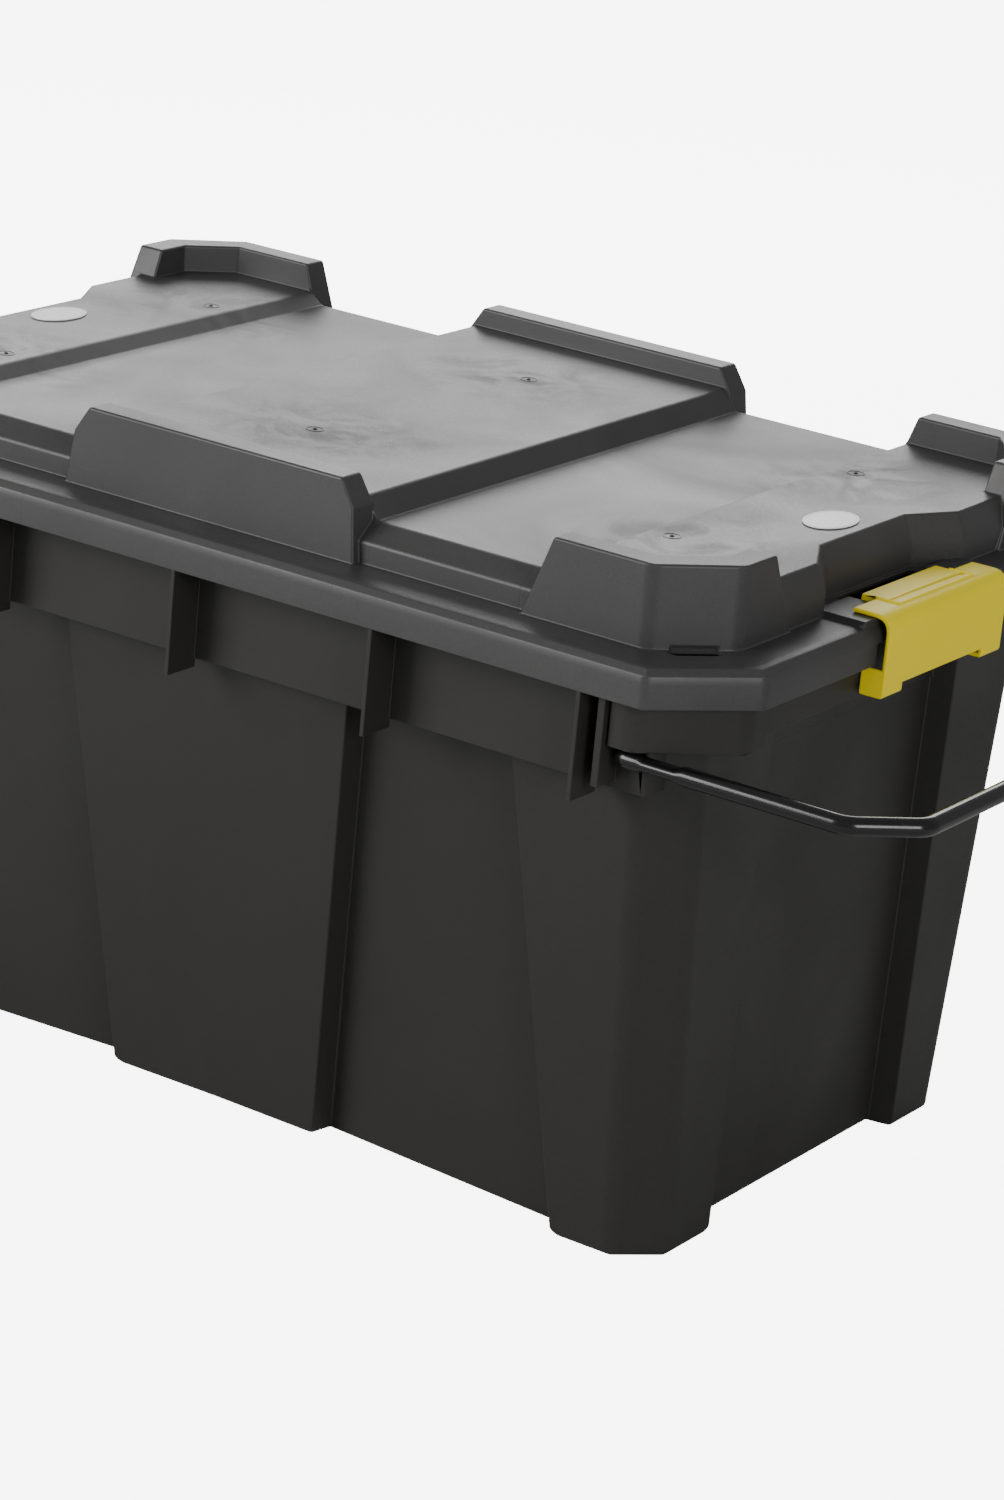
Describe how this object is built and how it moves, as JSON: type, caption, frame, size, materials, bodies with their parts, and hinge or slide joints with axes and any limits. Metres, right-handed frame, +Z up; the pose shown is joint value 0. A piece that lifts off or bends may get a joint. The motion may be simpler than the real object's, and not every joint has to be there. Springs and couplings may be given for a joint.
{
  "type": "toolbox with tray",
  "caption": "Large black tool trunk with a ribbed lift-off lid, yellow end clips, steel bail handles and a lift-out divided tray that hangs inside its rim.",
  "frame": {"origin": "on the floor, at the middle of the trunk's base", "axes": "+X along the trunk's length, from the left handle to the right one; +Y across it, from front to back; +Z up"},
  "size_m": [1.046, 0.527, 0.463],
  "materials": {
    "body_black": "fine moulded texture, soft sheen",
    "lid_grey": "fine moulded texture, soft sheen",
    "clip_yellow": "smooth moulded, semi-gloss",
    "bar_black": "gloss black coated steel bar",
    "pin_steel": "plain drawn steel",
    "bush_black": "satin",
    "tray_grey": "fine moulded texture",
    "label_white": "smooth blank film"
  },
  "bodies": {
    "tub": {"tub": "body_black", "handle_bush_right_front": "bush_black", "handle_bush_right_back": "bush_black", "handle_bush_left_front": "bush_black", "handle_bush_left_back": "bush_black"},
    "lid": {"lid": "lid_grey", "label_right": "label_white", "label_left": "label_white", "clip_pin_right": "pin_steel", "clip_pin_left": "pin_steel"},
    "tray": {"tray": "tray_grey", "tray_divider_right": "tray_grey", "tray_divider_left": "tray_grey"},
    "clip_right": {"clip_right": "clip_yellow"},
    "clip_left": {"clip_left": "clip_yellow"},
    "handle_right": {"handle_right": "bar_black"},
    "handle_left": {"handle_left": "bar_black"}
  },
  "joints": [
    {"name": "lid_lift", "type": "slide", "parent": "tub", "child": "lid", "axis": [0, 0, 1], "range_m": [0, 0.3]},
    {"name": "tray_lift", "type": "slide", "parent": "tub", "child": "tray", "axis": [0, 0, 1], "range_m": [0, 0.15]},
    {"name": "clip_right_open", "type": "hinge", "parent": "lid", "child": "clip_right", "pos_m": [0.372, 0, 0.4115], "axis": [0, -1, 0], "range_deg": [0, 100]},
    {"name": "clip_left_open", "type": "hinge", "parent": "lid", "child": "clip_left", "pos_m": [-0.372, 0, 0.4115], "axis": [0, 1, 0], "range_deg": [0, 100]},
    {"name": "handle_right_swing", "type": "hinge", "parent": "tub", "child": "handle_right", "pos_m": [0.327, 0, 0.346], "axis": [0, 1, 0], "range_deg": [0, 78]},
    {"name": "handle_left_swing", "type": "hinge", "parent": "tub", "child": "handle_left", "pos_m": [-0.327, 0, 0.346], "axis": [0, -1, 0], "range_deg": [0, 78]}
  ],
  "couplings": [
    {"joint": "tray_lift", "follows": "lid_lift", "ratio": 0.5}
  ]
}
